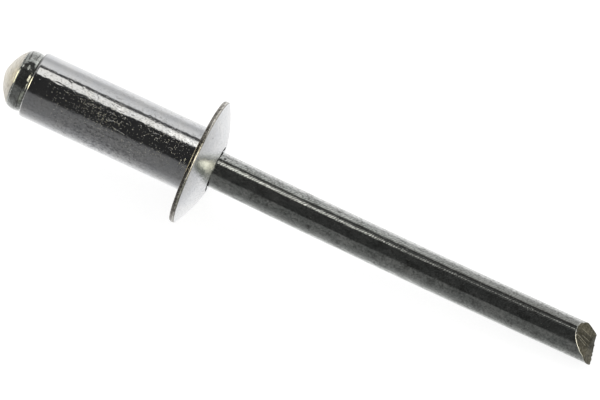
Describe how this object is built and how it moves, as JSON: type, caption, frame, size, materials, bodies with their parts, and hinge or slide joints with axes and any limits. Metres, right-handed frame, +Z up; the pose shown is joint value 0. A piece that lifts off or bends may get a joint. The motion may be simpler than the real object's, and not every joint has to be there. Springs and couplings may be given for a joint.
{
  "type": "pop rivet",
  "caption": "Domed blind rivet as supplied: hollow shank with a thin low-domed flange, on a headed mandrel with a pinched break neck, a long tail and a nipped end.",
  "frame": {"origin": "centre of the flange's seat face, on the rivet's axis", "axes": "the rivet lies as it rests, on the rim of its flange and the end of its tail: +X runs level along the tail, +Z is up, and the axis of the rivet dips towards +X by 6.3 degrees, towards the blind end it rises"},
  "size_m": [0.0451, 0.0092, 0.0091],
  "materials": {
    "body_metal": "bright drawn metal with fine pits and scratches",
    "mandrel_steel": "plated drawn steel, faintly greenish, duller and striated on the forged dome and the nipped end"
  },
  "bodies": {
    "root": {"rivet_body": "body_metal", "mandrel": "mandrel_steel"}
  },
  "joints": []
}
